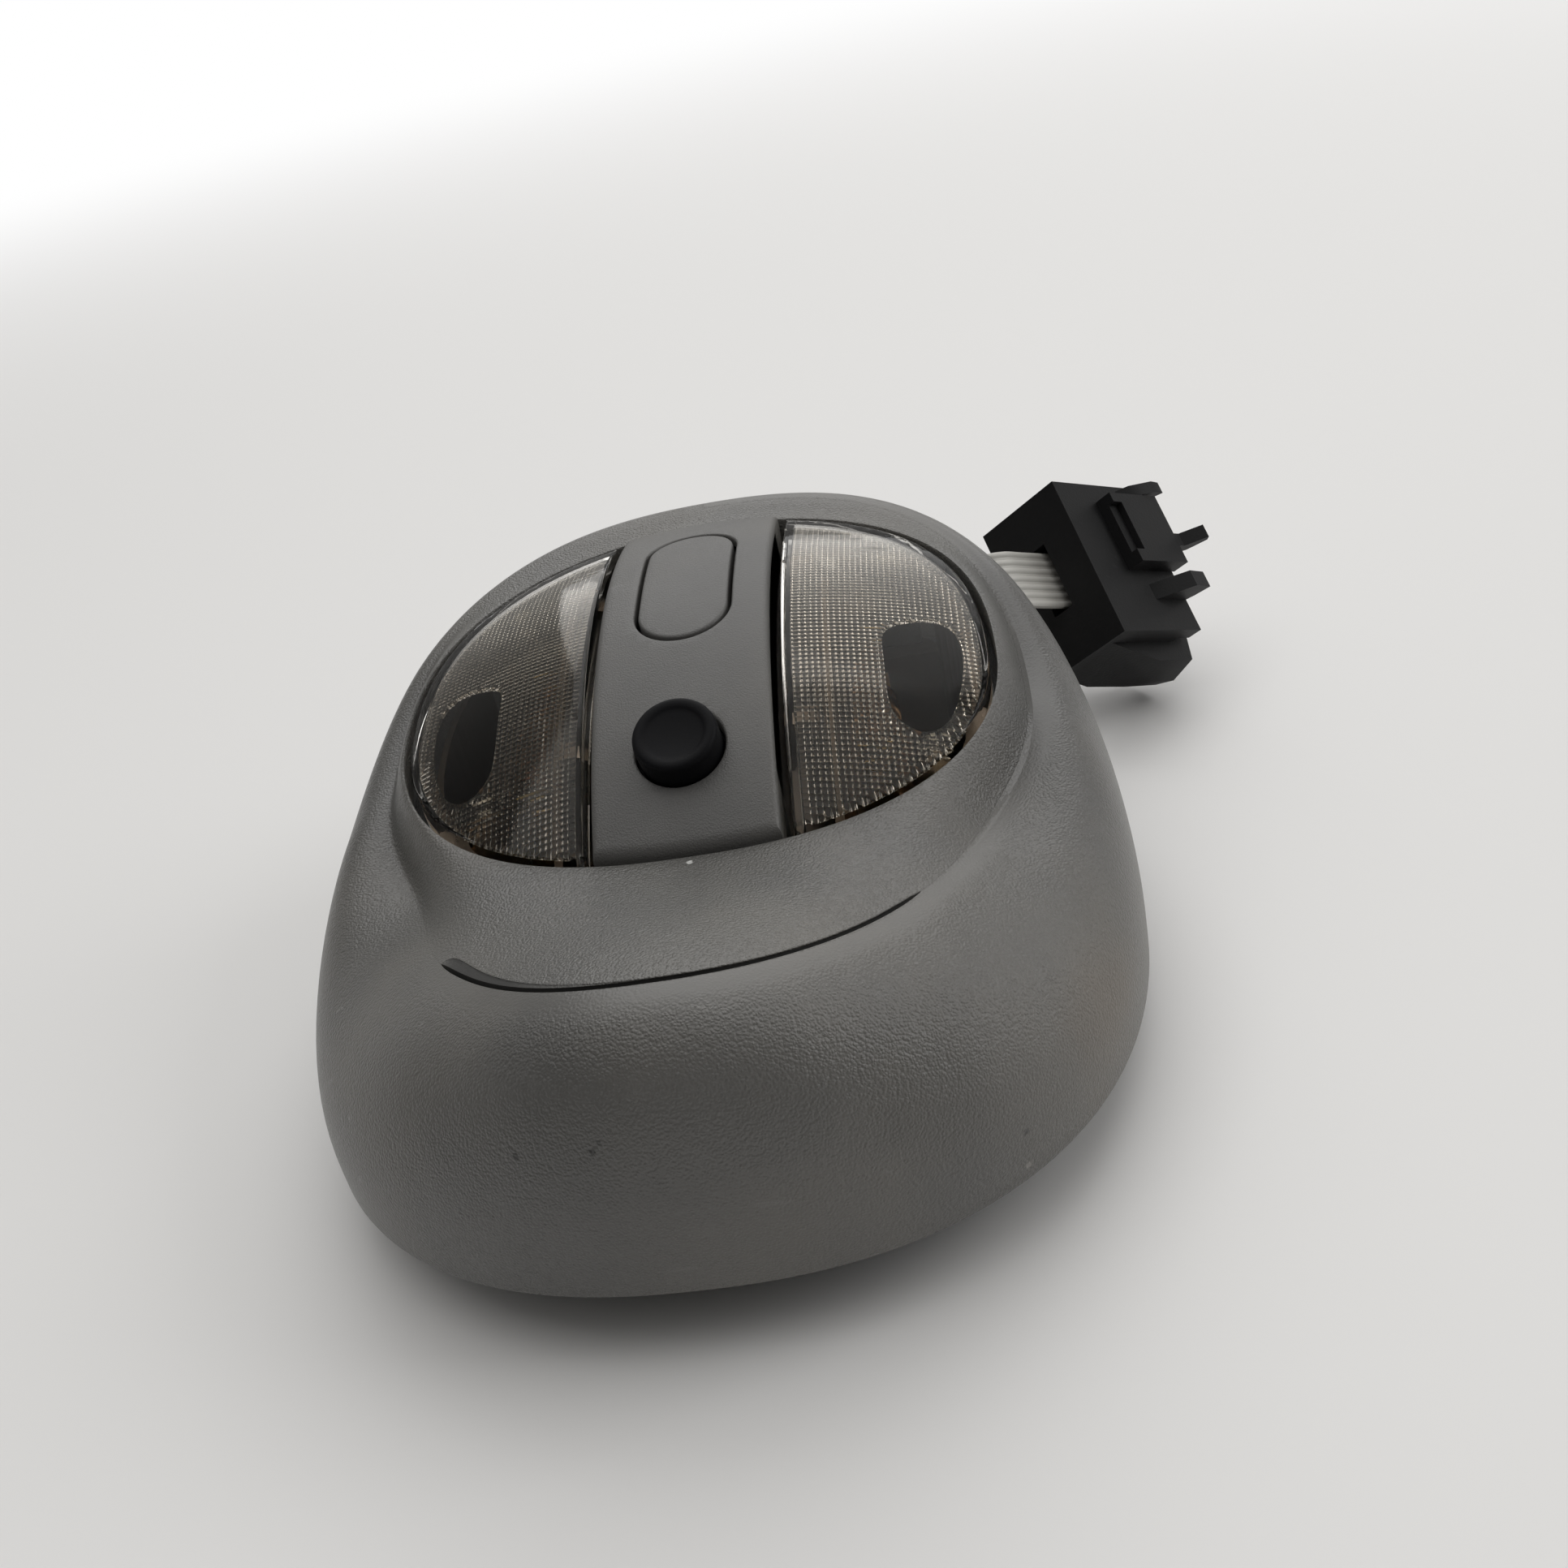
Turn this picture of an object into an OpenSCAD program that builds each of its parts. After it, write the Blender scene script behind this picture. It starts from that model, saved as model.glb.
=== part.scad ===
/* [Housing] */
// Width of the housing at its rim
housing_w = 143; // [136:1:156]
// Length of the housing at its rim
housing_len = 170; // [162:1:184]
// Wall of the housing moulding
wall = 2.4; // [1.8:0.1:3]
// Height of the side rim above the resting face
rim_z = 11; // [8:0.5:14]
// Extra height of the rim at the front
rim_arch = 2.4; // [0:0.2:5]
// Height of the widest line above the rim
tuck_z = 3; // [1:0.5:6]
// Fullness of the bulging wall
fullness = 2.34; // [2:0.02:2.6]
// Depth of the collar round the lens opening
collar_depth = 5; // [3:0.5:7]

/* [Lens field] */
// Top of the domed field above the resting face
dome_top = 68.5; // [66:0.5:72]
// Radius of the dome from front to rear
dome_r = 110; // [100:1:125]
// Radius of the dome across the width
dome_x = 152; // [130:1:180]
// Distance of the dome's highest point behind the housing's centre
dome_y = 42; // [40:0.5:44]
// Width of the lens opening
field_w = 106; // [102:0.5:110]
// Distance of the widest point of the opening behind the centre
field_y = 12; // [10:0.5:14]
// Reach of the opening in front of its widest point
field_front = 37.5; // [35:0.5:40]
// Reach of the opening behind its widest point
field_rear = 51; // [48:0.5:54]

/* [Slot] */
// Widest opening of the crescent slot, near its left end
slot_left_w = 3.8; // [3:0.1:5]
// Width of the deep gap that runs along the slot's outer edge
slot_gap = 1; // [0.8:0.1:1.4]
// Depth of the gap
slot_depth = 6; // [4:0.5:8]

/* [Centre panel] */
// Width of the centre panel
panel_w = 30.8; // [29:0.2:32]
// Height of the panel's face above the dome of the lenses
panel_proud = 0.9; // [0.4:0.1:1.5]
// Thickness of the panel and of its skirts
panel_t = 1.8; // [1.4:0.1:2.4]
// Gap between the ends of the panel and the opening
panel_end_gap = 0.6; // [0.4:0.1:1]
// Width of the oval blank
oval_w = 16.2; // [14:0.2:18]
// Length of the oval blank
oval_len = 38; // [34:0.5:40]
// Distance of the oval blank's middle behind the housing's centre
oval_y = 32.5; // [31:0.5:33.5]
// Gap round the oval blank
oval_gap = 0.7; // [0.4:0.1:1]

/* [Push button] */
// Tilt of the button from the vertical, towards the front
button_tilt = 27.8; // [26:0.2:30]
// Radius of the button's cap
button_r = 7.1; // [6:0.1:7.8]
// Gap round the button's cap
button_gap = 0.55; // [0.3:0.05:0.8]
// Height of the cap above the dome
button_proud = 5; // [4:0.2:6.5]
// Depth of the hollow in the cap's top
button_dish = 0.9; // [0.5:0.1:1.4]
// Travel of the button
button_travel = 3; // [2:0.2:3.4]
// Radius of the button's stem
stem_r = 3; // [2:0.1:4]

/* [Lenses] */
// Thickness of each lens
lens_t = 2.2; // [1.8:0.1:2.6]
// Gap between a lens and the opening
lens_gap = 1.3; // [1:0.1:1.8]
// Gap between a lens and the centre panel
lens_side_gap = 1.8; // [1.4:0.1:2.2]
// Depth of the wall round the rim of each lens
lens_skirt = 3.6; // [2.5:0.1:4]
// Radius of each hinge pin
pin_r = 1; // [0.8:0.05:1.3]
// Radial clearance of the lens ears on the hinge pin
pin_fit = 0.06; // [0.03:0.01:0.1]
// Distance of each hinge pin from the middle of the light
pin_x = 20; // [19.5:0.1:21]
// Height of the hinge pin's middle above the resting face
pin_z = 54; // [52:0.5:55]
// Slope of the hinge pin, up towards the rear
pin_slope = 12; // [10:0.5:14]
// Length of each hinge pin
pin_len = 54; // [53:0.5:58]

/* [Lamp body] */
// Height of the flange's upper face above the resting face
flange_z = 26; // [24:0.5:28]
// Thickness of the lamp body's walls, floor and flange
body_t = 2; // [1.6:0.1:2.6]
// Half width of the lamp body's tub
tub_w = 50; // [49.5:0.1:51]
// Reach of the tub in front of the housing's centre
tub_front = 42; // [40:0.5:43]
// Reach of the tub behind the housing's centre
tub_rear = 64; // [62:0.5:66]
// Width of the flange outside the tub's wall
flange_w = 3; // [2:0.5:3.5]
// Radius of each screw boss
boss_r = 3.6; // [3.2:0.1:4.4]
// Radius of the pilot hole for a body screw
pilot_r = 1.25; // [1.1:0.05:1.4]
// Radius of the clearance hole for a body screw
screw_hole_r = 1.8; // [1.6:0.05:2]
// Radius of each roof fixing hole
roof_hole_r = 2.25; // [2:0.05:2.6]
// Distance between the roof fixing holes
roof_hole_pitch = 48; // [44:1:52]

/* [Reflectors] */
// Wall of each reflector
reflector_t = 1.5; // [1.2:0.1:2]
// Distance of the bowl's inner wall from the middle
bowl_x = 23; // [22.6:0.1:24]
// Height of the shelf that carries the panel's skirts
ledge_z = 38; // [37:0.5:40]
// Height of the shelf under the lens switch
shelf_z = 44; // [43:0.5:46]
// Rear end of the bowl, behind the housing's centre
bowl_rear = 36; // [34:0.5:37]

/* [Cable and plug] */
// Number of wires in the flat cable
wires = 7; // [5:1:8]
// Spacing of the wires
wire_pitch = 2; // [1.8:0.1:2.1]
// Thickness of the flat cable
cable_t = 1.5; // [1.2:0.1:1.8]
// Length of the plug block
plug_len = 37; // [34:0.5:40]
// Height of the plug block
plug_h = 21.5; // [20:0.5:23]
// Depth of the plug block, without its tongues
plug_depth = 25; // [22:0.5:28]

/* [Hidden] */

grey = [0.42, 0.41, 0.40];
fit = 0.3;
eps = 0.01;
big = 200;

// Sections of the housing loft lie every step degrees, from the rear (0) by the right side to the front (180)
step = 3.75;
field_m_front = 2.15;
field_m_rear = 2.35;
rim_m_front = 2.34;
rim_m_rear = 2.17;
// Share of the way from the opening to the rim at which the valley lies, at 0, 30 .. 180 degrees
valley_share = [0.45, 0.45, 0.36, 0.28, 0.2, 0.5, 0.7];
// Height of the valley below the top of the dome, at the same angles
valley_drop = [1, 3, 10, 23, 29.5, 23.5, 16];
lip_steps = 4;
arch_steps = 9;
slot_half_angle = 34;
slot_shift = 1.3;
screw_len = 10.5;

dome_z = dome_top - dome_r;
function dome_arc(x) = dome_r - dome_x + sqrt(dome_x * dome_x - x * x);
function dome_at(x, y) = dome_z + sqrt(pow(dome_arc(x), 2) - pow(y - dome_y, 2));
function power(v, m) = sign(v) * pow(abs(v), 2 / m);
function oval(a, w, front, rear, mf, mr) =
    cos(a) > 0 ? [w * power(sin(a), mr), rear * power(cos(a), mr)]
               : [w * power(sin(a), mf), front * power(cos(a), mf)];
function opening(a, gap = 0) =
    [0, field_y]
    + oval(a, field_w / 2 - gap, field_front - gap, field_rear - gap, field_m_front, field_m_rear);
function rim(a) = oval(a, housing_w / 2, housing_len / 2, housing_len / 2, rim_m_front, rim_m_rear);
function rim_height(a) = rim_z + (cos(a) < 0 ? rim_arch * cos(a) * cos(a) : 0);

// Smooth curve through seven key values, the same on both sides
function key(k, a) =
    let (b = a > 180 ? 360 - a : a, i = min(floor(b / 30), 5), t = b / 30 - i,
         p0 = i == 0 ? k[1] : k[i - 1], p1 = k[i], p2 = k[i + 1], p3 = i == 5 ? k[5] : k[i + 2])
    p1 + t * (p2 - p0 + t * (2 * p0 - 5 * p1 + 4 * p2 - p3 + t * (3 * (p1 - p2) + p3 - p0))) / 2;

// One section of the skin, as [distance from the opening, height] pairs
function reach(a) = norm(rim(a) - opening(a));
function open_height(a) = dome_at(opening(a)[0], opening(a)[1]);
function valley_d(a) = reach(a) * key(valley_share, a);
function valley_z(a) = dome_top - key(valley_drop, a);
function lip_curve(a, t) =
    [valley_d(a) * t, open_height(a) + (valley_z(a) - open_height(a)) * t * t * (3 - 2 * t)];
function arch_curve(a, t) =
    let (wide_z = rim_height(a) + tuck_z)
    [valley_d(a) + (reach(a) - valley_d(a)) * power(sin(90 * t), fullness),
     wide_z + (valley_z(a) - wide_z) * power(cos(90 * t), fullness)];
function outer_section(a) = concat(
    [[0, open_height(a) - collar_depth]],
    [for (i = [0 : lip_steps - 1]) lip_curve(a, i / lip_steps)],
    [for (i = [0 : arch_steps]) arch_curve(a, i / arch_steps)],
    [[reach(a), rim_height(a)]]);
// Inner side of the wall: each point of the arch moved in along its normal
function inward(a, t) =
    let (p = arch_curve(a, t), q = arch_curve(a, max(t - 0.02, 0)), r = arch_curve(a, min(t + 0.02, 1)),
         n = (r - q) / norm(r - q))
    p + wall * [n[1], -n[0]];
function inner_section(a) = concat(
    [[reach(a) - wall, rim_height(a)]],
    [for (i = [arch_steps : -1 : 1]) inward(a, i / arch_steps)],
    [[valley_d(a), valley_z(a) - wall], [wall, min(open_height(a), valley_z(a)) - wall - 0.5],
     [wall, min(open_height(a), valley_z(a) + 2) - collar_depth]]);
function place(a, p) =
    let (o = opening(a), u = (rim(a) - o) / reach(a)) [o[0] + u[0] * p[0], o[1] + u[1] * p[0], p[1]];
function ring(a) = [for (p = concat(outer_section(a), inner_section(a))) place(a, p)];

// Skin over closed sections, all with the same number of points
module loft(sections, closed) {
    n = len(sections[0]);
    m = len(sections);
    last = closed ? m - 1 : m - 2;
    points = [for (s = sections) each s];
    sides = [for (j = [0 : last]) for (i = [0 : n - 1])
        let (a = j * n + i, b = j * n + (i + 1) % n, c = ((j + 1) % m) * n + (i + 1) % n,
             d = ((j + 1) % m) * n + i)
        each [[a, b, c], [a, c, d]]];
    ends = closed ? [] : [[for (i = [n - 1 : -1 : 0]) i], [for (i = [0 : n - 1]) (m - 1) * n + i]];
    polyhedron(points, concat(sides, ends), convexity = 10);
}

// The screws stand just outside the tub, at these angles
boss_angles = [42, 138, 222, 318];
boss_grow = 4.4;
module at_bosses() for (a = boss_angles) translate(tub(a, boss_grow)) children();
// Space under the skin of the housing, down to the tub's flange
function under_skin(a) = concat(
    [for (p = outer_section(a)) place(a, p - [0, wall / 2])],
    [place(a, [reach(a), flange_z]), place(a, [0, flange_z])]);
module boss_space() loft([for (a = [0 : step : 360 - step]) under_skin(a)], true);

// Crescent slot in the front of the valley: a deep narrow gap, and on the left half a ramp down to it.
// The ramp widens to a rounded end; the right half bends in a little.
slot_steps = 22;
ramp_slope = 0.42;
function slot_share(a) = pow(abs(a - 180) / slot_half_angle, 1.5);
function slot_end(a) = sqrt(max(1 - pow(abs(a - 180) / slot_half_angle, 8), 0.002));
function ramp_w(a) = 0.02 + (a > 180 ? (slot_left_w - slot_gap) * slot_share(a) * slot_end(a) : 0);
function slot_edge(a) = valley_d(a) - (a < 180 ? slot_shift * slot_share(a) : 0);
function slot_cut(a) =
    let (v = slot_edge(a), g = v - slot_gap * slot_end(a), r = ramp_w(a), z = valley_z(a))
    [place(a, [g - r, z + 4]), place(a, [g - r, z - 0.05]), place(a, [g, z - 0.05 - ramp_slope * r]),
     place(a, [g, z - slot_depth]), place(a, [v, z - slot_depth]), place(a, [v, z + 4])];
function slot_wall(a, grow) =
    let (v = slot_edge(a), g = v - slot_gap * slot_end(a), r = ramp_w(a), z = valley_z(a))
    [place(a, [g - r - grow, z - 1]), place(a, [g - r - grow, z - 0.5 - grow - ramp_slope * r]),
     place(a, [g - grow, z - slot_depth - grow]), place(a, [v + grow, z - slot_depth - grow]),
     place(a, [v + grow, z - 1])];
slot_angles = [for (i = [slot_steps : -2 : -slot_steps]) 180 + slot_half_angle * i / slot_steps];

module housing() color(grey) difference() {
    union() {
        loft([for (a = [0 : step : 360 - step]) ring(a)], true);
        loft([for (a = slot_angles) slot_wall(a, wall * 0.7)], false);
        intersection() {
            boss_space();
            translate([0, 0, flange_z]) at_bosses() cylinder(r = boss_r, h = big, $fn = 48);
        }
    }
    loft([for (a = slot_angles) slot_cut(a)], false);
    translate([0, 0, flange_z - 1]) at_bosses() cylinder(r = pilot_r, h = screw_len, $fn = 32);
}

// Solid under the dome, raised or lowered by off
module dome(off) translate([0, dome_y, dome_z]) rotate([0, 90, 0]) rotate_extrude($fn = 180)
    intersection() {
        translate([dome_r - dome_x, 0]) circle(r = dome_x + off, $fn = 360);
        translate([0, -field_w * 0.6]) square([dome_r + 20, field_w * 1.2]);
    }
module shell(upper, lower) difference() {
    dome(upper);
    dome(lower);
}
module field_prism(gap, z0) translate([0, 0, z0]) linear_extrude(big)
    polygon([for (a = [0 : 4 : 356]) opening(a, gap)]);
module stadium(w, length, z0) translate([0, oval_y, z0]) linear_extrude(big) union() {
    square([w, length - w], center = true);
    for (s = [-1, 1]) translate([0, s * (length - w) / 2]) circle(d = w, $fn = 64);
}
module block(low, high) translate(low) cube(high - low);

button_y = dome_y - dome_r * sin(button_tilt);
button_z = dome_z + dome_r * cos(button_tilt);
module on_button() translate([0, button_y, button_z]) rotate([button_tilt, 0, 0]) children();
skirt_low = 7;
leg_front = -14;
leg_rear = 52;

module panel_prism(inset) intersection() {
    field_prism(panel_end_gap + inset, 20 - inset);
    block([-panel_w / 2 + inset, -big, 20 - inset], [panel_w / 2 - inset, big, big]);
}
// Domed strip between the lenses, with side skirts that stand on the reflectors
module centre_panel() color(grey) difference() {
    union() {
        intersection() {
            shell(panel_proud, panel_proud - panel_t);
            panel_prism(0);
        }
        intersection() {
            dome(panel_proud - eps);
            union() {
                for (s = [-1, 1]) translate([s * (panel_w - panel_t) / 2, 0, 0])
                    block([-panel_t / 2, leg_front, ledge_z], [panel_t / 2, leg_rear, 90]);
                difference() {
                    panel_prism(0);
                    panel_prism(panel_t);
                    dome(panel_proud - skirt_low);
                }
            }
        }
    }
    on_button() translate([0, 0, -8]) cylinder(r = button_r + button_gap, h = 20, $fn = 96);
    stadium(oval_w + 2 * oval_gap, oval_len + 2 * oval_gap, 40);
}

oval_flange = 1.2;
module oval_blank() color(grey) union() {
    intersection() {
        shell(panel_proud, panel_proud - panel_t - 1.5);
        stadium(oval_w, oval_len, 40);
    }
    intersection() {
        shell(panel_proud - panel_t - 0.1, panel_proud - panel_t - 1.5);
        stadium(oval_w + 2 * (oval_gap + oval_flange), oval_len + 2 * (oval_gap + oval_flange), 40);
    }
}

// Heights along the button's axis, measured from the dome
panel_under = panel_proud - panel_t;
guard_top = panel_under - 1.2;
guard_t = 1.4;
switch_top = guard_top - guard_t - button_travel - 1.2;
switch_h = 12;
switch_w = 15;
board_top = switch_top - switch_h;
board_t = 1.6;
board_w = 24;
board_front = -18;
board_rear = 26;
dish_r = (pow(button_r - 1.4, 2) + pow(button_dish, 2)) / (2 * button_dish);

// Round cap with a hollowed top, a guard flange under the panel and a stem
module push_button() color([0.11, 0.11, 0.12]) on_button() difference() {
    rotate_extrude($fn = 96) polygon([
        [0, switch_top - 6], [stem_r, switch_top - 6], [stem_r, guard_top - guard_t],
        [button_r + 1.1, guard_top - guard_t], [button_r + 1.1, guard_top], [button_r, guard_top],
        [button_r, button_proud - 0.8], [button_r - 0.25, button_proud - 0.25],
        [button_r - 0.8, button_proud], [0, button_proud]]);
    translate([0, 0, button_proud + dish_r - button_dish]) sphere(r = dish_r, $fn = 120);
}

module switch_body() color([0.9, 0.88, 0.82]) on_button() difference() {
    translate([0, 0, board_top + switch_h / 2]) cube([switch_w, switch_w, switch_h], center = true);
    translate([0, 0, switch_top - 6 - button_travel - 1])
        cylinder(r = stem_r + fit, h = 20, $fn = 64);
}

// Sloping board that carries the main switch
module circuit_board() color([0.05, 0.25, 0.12]) on_button() difference() {
    block([-board_w / 2, board_front, board_top - board_t], [board_w / 2, board_rear, board_top]);
    for (v = board_posts) translate([0, v, board_top - 5]) cylinder(r = 1.3, h = 10, $fn = 32);
}
board_posts = [board_front + 4, board_rear - 5];
module board_screws() color([0.75, 0.75, 0.76]) on_button() for (v = board_posts)
    translate([0, v, board_top]) {
        translate([0, 0, -7]) cylinder(r = 1.05, h = 7 + eps, $fn = 32);
        difference() {
            cylinder(r = 2.4, h = 1.6, $fn = 48);
            translate([0, 0, 1.1]) cube([3.4, 0.7, 1.2], center = true);
        }
    }

// Hinge pin's own frame: the pin lies along Y
module on_pin() translate([pin_x, dome_y - 20, pin_z]) rotate([pin_slope, 0, 0]) children();
module hinge_pin() color([0.7, 0.7, 0.72]) on_pin() rotate([90, 0, 0])
    cylinder(r = pin_r, h = pin_len, center = true, $fn = 48);
ear_at = 18;
ear_w = 3;
ear_r = 2.6;
lens_rim = 1.4;
lens_x = panel_w / 2 + lens_side_gap;

// D-shaped lens with a wall round its rim and two ears on the hinge pin
module lens() color([0.85, 0.84, 0.8, 0.5]) difference() {
    union() {
        intersection() {
            shell(0, -lens_t);
            field_prism(lens_gap, 30);
            block([lens_x, -big, 0], [big, big, big]);
        }
        intersection() {
            shell(-eps, -lens_t - lens_skirt);
            difference() {
                field_prism(lens_gap, 30);
                field_prism(lens_gap + lens_rim, 20);
            }
            block([lens_x, -big, 0], [big, big, big]);
        }
        intersection() {
            dome(-eps);
            on_pin() for (s = [-1, 1]) translate([0, s * ear_at, 0]) {
                rotate([90, 0, 0]) cylinder(r = ear_r, h = ear_w, center = true, $fn = 64);
                translate([0, 0, 10]) cube([ear_r * 2, ear_w, 20], center = true);
            }
        }
        intersection() {
            dome(-eps);
            translate([plunger_x, plunger_y, plunger_top + fit / 2]) cylinder(r = 2.2, h = 30, $fn = 48);
        }
    }
    on_pin() rotate([90, 0, 0]) cylinder(r = pin_r + pin_fit, h = pin_len, center = true, $fn = 64);
}

plunger_x = pin_x + 15;
plunger_y = 45;
plunger_top = 57;
switch_box_h = 8;
// Small press switch behind each bowl and its plunger
module lens_plunger() color([0.85, 0.84, 0.8]) translate([plunger_x, plunger_y, 0]) {
    collar_z = shelf_z + switch_box_h + 1.4;
    translate([0, 0, collar_z]) cylinder(r = 1.8, h = plunger_top - fit / 2 - collar_z, $fn = 48);
    translate([0, 0, shelf_z + 3]) cylinder(r = 1.3, h = switch_box_h, $fn = 48);
}
module lens_switch() color([0.1, 0.1, 0.1]) translate([plunger_x, plunger_y, shelf_z]) difference() {
    translate([-5, -4, 0]) cube([10, 8, switch_box_h]);
    translate([0, 0, 1.6]) cylinder(r = 1.3 + fit, h = 20, $fn = 48);
}

bulb_x = tub_w - 10;
bulb_y = 4;
holder_r = 7.5;
tube_x = 30;
tube_y = 16;
tube_z = 39;
tube_len = 34;
lug_w = 3;
lug_at = ear_at + ear_w / 2 + 0.6 + lug_w / 2;
// Room under the lens for its rocking, inside its rim for the bowl, and behind the bowl for the switch
rock_room = 2.2;
bowl_gap = 2.6;
shelf_rear = 55;

// Plated bowl under each lens, with a shelf for the switch and lugs for the hinge pin
module reflector() color([0.75, 0.75, 0.74]) difference() {
    union() {
        intersection() {
            dome(-lens_t - lens_skirt - rock_room);
            difference() {
                reflector_block(0, flange_z);
                reflector_block(reflector_t, flange_z + reflector_t);
                block([0, bowl_rear, flange_z - 1], [big, big, big]);
            }
        }
        intersection() {
            reflector_block(0, flange_z);
            block([bowl_x, bowl_rear, flange_z], [big, shelf_rear, shelf_z]);
            difference() {
                reflector_block(0, flange_z);
                block([bowl_x + reflector_t, bowl_rear + reflector_t, 0], [big, big, shelf_z - reflector_t]);
            }
        }
        block([panel_w / 2 - panel_t - 0.4, leg_front, ledge_z - 1.8], [bowl_x + 0.5, leg_rear, ledge_z]);
        for (s = [-1, 1]) intersection() {
            on_pin() translate([0, s * lug_at, -10]) cube([4.4, lug_w, 26], center = true);
            block([0, -big, ledge_z - 1], [big, big, big]);
        }
    }
    on_pin() rotate([90, 0, 0]) cylinder(r = pin_r + pin_fit / 2, h = pin_len + 1, center = true, $fn = 64);
    translate([bulb_x, bulb_y, flange_z - 1]) cylinder(r = 5.4, h = 5, $fn = 64);
}
module reflector_block(inset, z0) intersection() {
    field_prism(lens_gap + bowl_gap + inset, z0);
    block([bowl_x + inset, -big, z0], [big, big, big]);
}

// Wedge bulb that points up at the clear window, sealed glass on a flat base
module reading_bulb() color([0.95, 0.93, 0.85, 0.5]) translate([bulb_x, bulb_y, 0]) union() {
    translate([0, 0, flange_z - 1]) rotate_extrude($fn = 64) difference() {
        union() {
            translate([0, 0]) square([4.6, 12]);
            translate([0, 12]) circle(r = 4.6, $fn = 64);
        }
        translate([-20, -20]) square([20, 60]);
    }
    translate([-4, -1, flange_z - 7]) cube([8, 2, 6 + eps]);
}
module bulb_holder() color([0.08, 0.08, 0.08]) translate([bulb_x, bulb_y, 0]) difference() {
    union() {
        translate([0, 0, flange_z - 9]) cylinder(r = holder_r, h = 9, $fn = 64);
        translate([-2, -holder_r - 1, flange_z - 12]) cube([4, 2 * holder_r + 2, 4]);
    }
    translate([0, 0, flange_z - 1 - eps]) cylinder(r = 5, h = 5, $fn = 64);
    translate([-4.2, -1.2, flange_z - 7.2]) cube([8.4, 2.4, 20]);
}

// Tube bulb with a metal cap at each end
module courtesy_bulb() color([0.95, 0.93, 0.85, 0.5]) translate([tube_x, tube_y, tube_z]) rotate([90, 0, 0])
    rotate_extrude($fn = 64) polygon([
        [0, -tube_len / 2], [1.2, -tube_len / 2], [2.2, -tube_len / 2 + 2], [4, -tube_len / 2 + 4],
        [4, -tube_len / 2 + 7], [4.6, -tube_len / 2 + 8.5], [4.6, tube_len / 2 - 8.5],
        [4, tube_len / 2 - 7], [4, tube_len / 2 - 4], [2.2, tube_len / 2 - 2], [1.2, tube_len / 2],
        [0, tube_len / 2]]);
clip_t = 0.6;
module bulb_clips() color([0.8, 0.62, 0.25]) for (s = [-1, 1])
    translate([tube_x, tube_y + s * (tube_len / 2 - 0.7), flange_z + reflector_t]) {
        difference() {
            translate([-3, -clip_t / 2, 0]) cube([6, clip_t, tube_z - flange_z - reflector_t + 4]);
            translate([0, 0, tube_z - flange_z - reflector_t]) rotate([90, 0, 0])
                cylinder(r = 1.9, h = 4, center = true, $fn = 32);
        }
        translate([-3, s > 0 ? -4 : -clip_t / 2, 0]) cube([6, 4 + clip_t / 2, clip_t]);
    }

function tub(a, grow) = oval(a, tub_w + grow, tub_front + grow, tub_rear + grow, 3, 3);
module tub_prism(grow, h) linear_extrude(h) polygon([for (a = [0 : 6 : 354]) tub(a, grow)]);
cable_x = 30;
cable_y = 52;
cable_turn = 36;
cable_w = wires * wire_pitch;
module at_outlet() translate([cable_x, cable_y, 0]) rotate([0, 0, -cable_turn]) children();

// Tub behind the light that carries the lamps, the board and the roof clips
module lamp_body() color([0.13, 0.13, 0.13]) difference() {
    union() {
        difference() {
            tub_prism(0, flange_z);
            translate([0, 0, body_t]) tub_prism(-body_t, flange_z);
        }
        translate([0, 0, flange_z - body_t]) difference() {
            union() {
                tub_prism(flange_w, body_t);
                at_bosses() cylinder(r = boss_r + 1.5, h = body_t, $fn = 64);
            }
            translate([0, 0, -1]) tub_prism(-body_t, body_t + 2);
        }
        intersection() {
            on_button() for (v = board_posts) translate([0, v, board_top - board_t - 60])
                cylinder(r = 3, h = 60, $fn = 48);
            block([-20, -50, body_t - 0.5], [20, 60, 60]);
        }
        for (s = [0, 1]) mirror([s, 0, 0])
            block([bowl_x + 2, leg_front, body_t - 0.5], [bowl_x + 3.5, 30, flange_z]);
    }
    on_button() for (v = board_posts) translate([0, v, board_top - 9]) cylinder(r = 1.1, h = 20, $fn = 32);
    translate([0, 0, flange_z - body_t - 1]) at_bosses() cylinder(r = screw_hole_r, h = body_t + 2, $fn = 48);
    for (s = [-1, 1]) translate([s * roof_hole_pitch / 2, roof_hole_y, -1])
        cylinder(r = roof_hole_r, h = body_t + 2, $fn = 64);
    at_outlet() block([-cable_w / 2 - 0.8, 0, body_t], [cable_w / 2 + 0.8, 30, body_t + 5]);
}
roof_hole_y = -30;

module body_screws() color([0.6, 0.6, 0.62]) translate([0, 0, flange_z - body_t]) at_bosses() {
    translate([0, 0, -0.5]) cylinder(r = pilot_r - 0.1, h = screw_len, $fn = 32);
    translate([0, 0, -2]) difference() {
        cylinder(r = 3.2, h = 2, $fn = 48);
        for (q = [0, 90]) rotate([0, 0, q]) translate([-1.8, -0.35, -1]) cube([3.6, 0.7, 2]);
    }
}

clip_w = 14;
clip_sheet = 0.8;
clip_top = flange_z - body_t - 0.1;
// Folded steel spring that grips the edge of the roof opening
module roof_clip() color([0.72, 0.72, 0.74]) translate([tub_w, clip_w / 2, 0])
    rotate([90, 0, 0]) linear_extrude(clip_w) polygon([
        [0, 3], [clip_sheet, 3], [clip_sheet, 3.6], [6, 9], [8.4, 13], [6, 18], [3.4, 20.5],
        [2.9, 19.9], [5.2, 17.6], [7.4, 13], [5.2, 9.6], [clip_sheet, 5], [clip_sheet, clip_top],
        [0, clip_top]]);

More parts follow.
